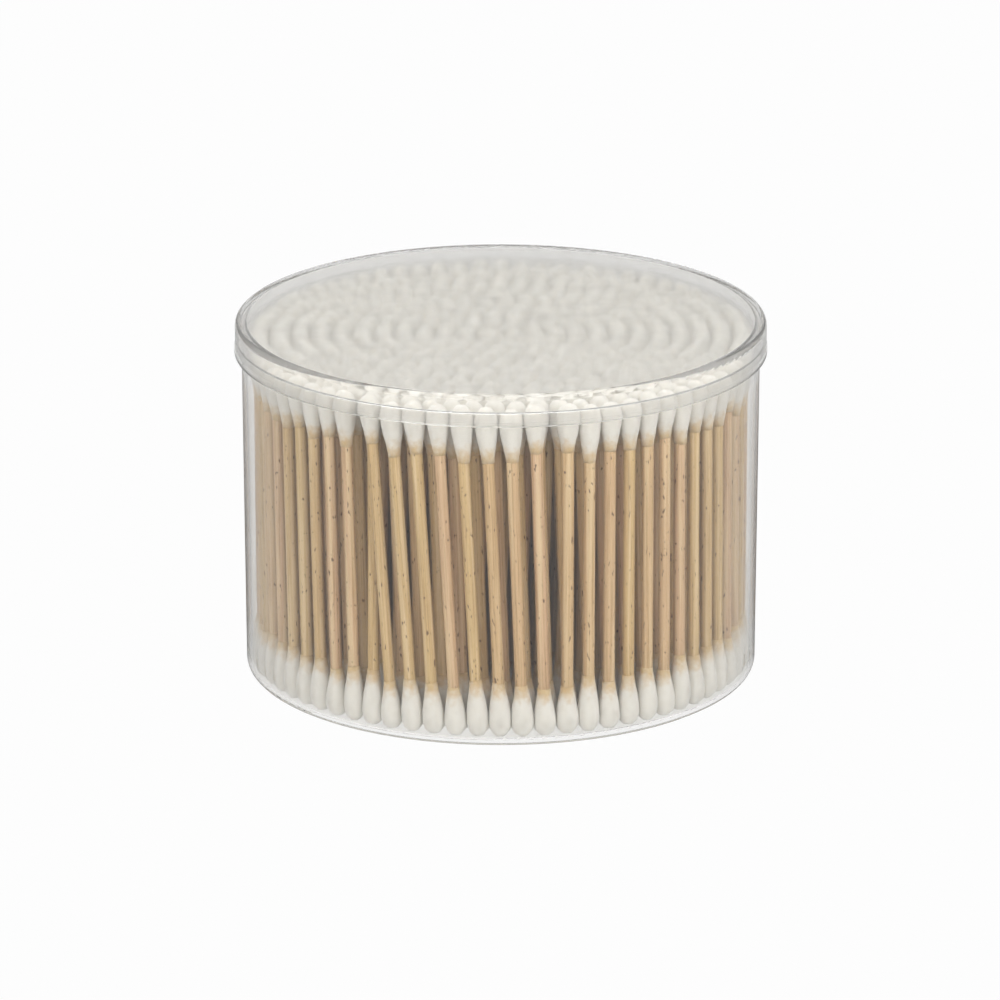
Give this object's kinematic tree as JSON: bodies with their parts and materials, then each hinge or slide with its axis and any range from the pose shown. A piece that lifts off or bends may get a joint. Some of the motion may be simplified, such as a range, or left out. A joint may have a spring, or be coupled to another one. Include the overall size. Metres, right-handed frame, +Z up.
{
  "type": "cotton swab tub",
  "caption": "Clear round tub with a slip-over lid, packed with cotton swabs on bamboo sticks that stand on end.",
  "frame": {"origin": "centre of the tub's foot, on the surface that it stands on", "axes": "+Z up along the tub's axis, the front at -Y"},
  "size_m": [0.1182, 0.1182, 0.0803],
  "materials": {
    "clear_tub": "clear moulded polystyrene, glossy",
    "clear_lid": "clear moulded polystyrene, glossy",
    "bamboo": "plain bamboo, sanded, fine grain along its length",
    "cotton": "wound white cotton, matte"
  },
  "bodies": {
    "tub": {"lower_cotton_ring_01": "cotton", "lower_cotton_ring_02": "cotton", "lower_cotton_ring_03": "cotton", "lower_cotton_ring_04": "cotton", "lower_cotton_ring_05": "cotton", "lower_cotton_ring_06": "cotton", "lower_cotton_ring_07": "cotton", "lower_cotton_ring_08": "cotton", "lower_cotton_ring_09": "cotton", "lower_cotton_ring_10": "cotton", "lower_cotton_ring_11": "cotton", "lower_cotton_ring_12": "cotton", "sticks_ring_01": "bamboo", "sticks_ring_02": "bamboo", "sticks_ring_03": "bamboo", "sticks_ring_04": "bamboo", "sticks_ring_05": "bamboo", "sticks_ring_06": "bamboo", "sticks_ring_07": "bamboo", "sticks_ring_08": "bamboo", "sticks_ring_09": "bamboo", "sticks_ring_10": "bamboo", "sticks_ring_11": "bamboo", "sticks_ring_12": "bamboo", "tub": "clear_tub", "upper_cotton_ring_01": "cotton", "upper_cotton_ring_02": "cotton", "upper_cotton_ring_03": "cotton", "upper_cotton_ring_04": "cotton", "upper_cotton_ring_05": "cotton", "upper_cotton_ring_06": "cotton", "upper_cotton_ring_07": "cotton", "upper_cotton_ring_08": "cotton", "upper_cotton_ring_09": "cotton", "upper_cotton_ring_10": "cotton", "upper_cotton_ring_11": "cotton", "upper_cotton_ring_12": "cotton"},
    "lid": {"lid": "clear_lid"}
  },
  "joints": [
    {"name": "lid_lift", "type": "slide", "parent": "tub", "child": "lid", "axis": [0, 0, 1], "range_m": [0, 0.04]}
  ]
}
